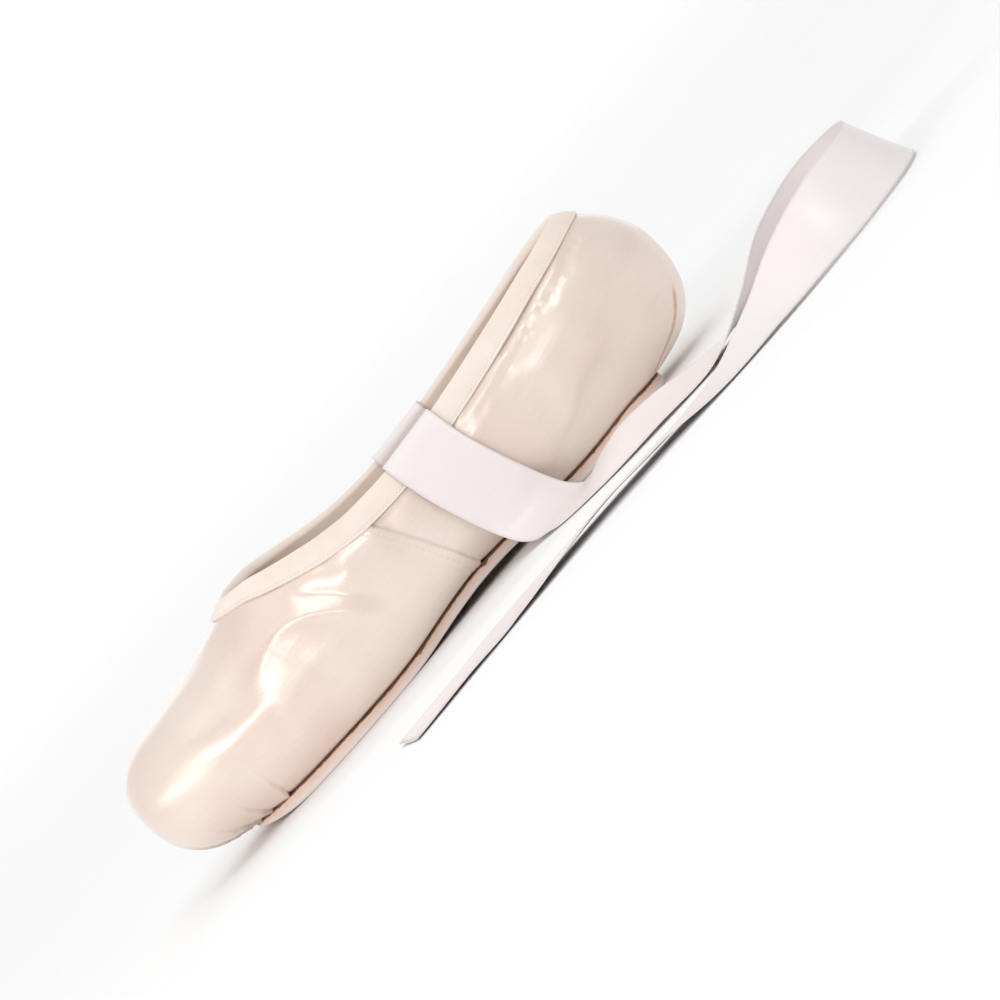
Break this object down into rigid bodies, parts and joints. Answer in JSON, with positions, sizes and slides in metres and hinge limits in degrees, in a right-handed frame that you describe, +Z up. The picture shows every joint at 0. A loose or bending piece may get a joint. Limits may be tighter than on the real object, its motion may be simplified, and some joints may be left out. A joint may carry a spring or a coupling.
{
  "type": "demi pointe shoe",
  "caption": "Satin demi-pointe ballet shoe with a soft rounded toe box, bound collar, narrow leather outsole and ankle ribbons lying loose on the floor.",
  "frame": {"origin": "under the middle of the shoe's length and width, on the floor that the outsole stands on", "axes": "+X from heel to toe, +Y to the wearer's left, +Z up"},
  "size_m": [0.294, 0.2922, 0.058],
  "materials": {
    "satin": "pale peach satin, glossy along its weave",
    "binding_tape": "matt cream cotton tape",
    "sole_leather": "pinkish tan leather, brown at its top edge",
    "insole_cloth": "plain cream cloth",
    "ribbon_satin": "pale pink satin ribbon"
  },
  "bodies": {
    "root": {"upper": "satin", "binding": "binding_tape", "outsole": "sole_leather", "insole": "insole_cloth", "ribbon_left": "ribbon_satin", "ribbon_right": "ribbon_satin"}
  },
  "joints": []
}
